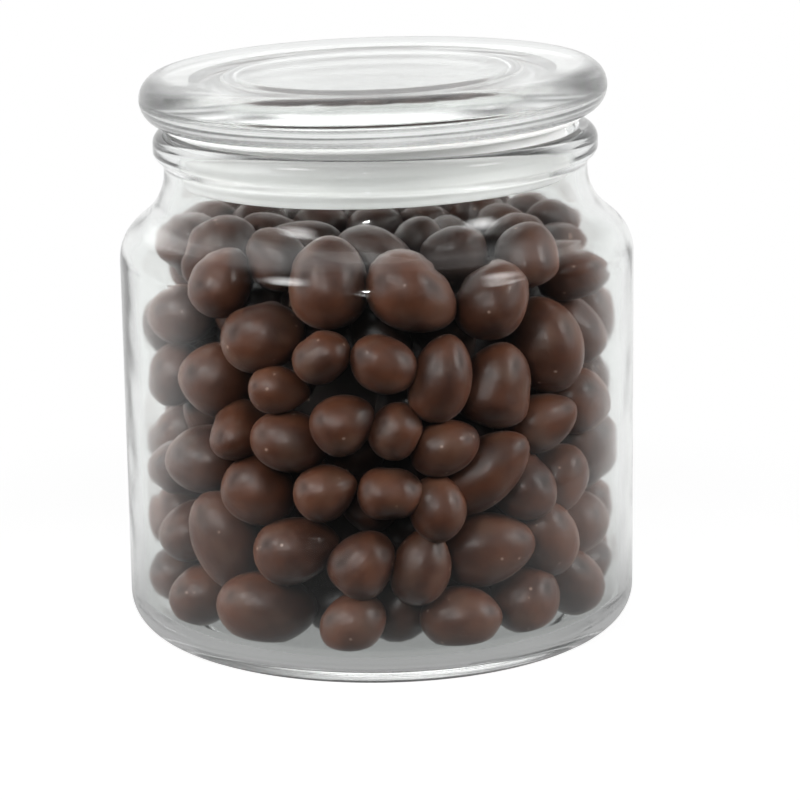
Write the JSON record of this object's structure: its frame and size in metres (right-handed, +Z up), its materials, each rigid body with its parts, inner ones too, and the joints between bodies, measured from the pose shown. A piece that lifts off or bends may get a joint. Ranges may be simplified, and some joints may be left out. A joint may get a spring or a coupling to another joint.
{
  "type": "jar of chocolate covered peanuts",
  "caption": "Round clear glass sweet jar with a rounded shoulder, beaded lip and thick glass lid on a soft seal, filled with chocolate covered peanuts.",
  "frame": {"origin": "middle of the jar's foot, on the surface that it stands on", "axes": "+Z up along the jar's axis, the front of the heap towards -Y, +X to the right as seen from the front"},
  "size_m": [0.102, 0.102, 0.1129],
  "materials": {
    "clear_glass": "polished",
    "soft_plastic": "frosted",
    "milk_chocolate": "polished by panning, satin"
  },
  "bodies": {
    "root": {"jar": "clear_glass", "lid": "clear_glass", "seal": "soft_plastic", "peanuts": "milk_chocolate"}
  },
  "joints": []
}
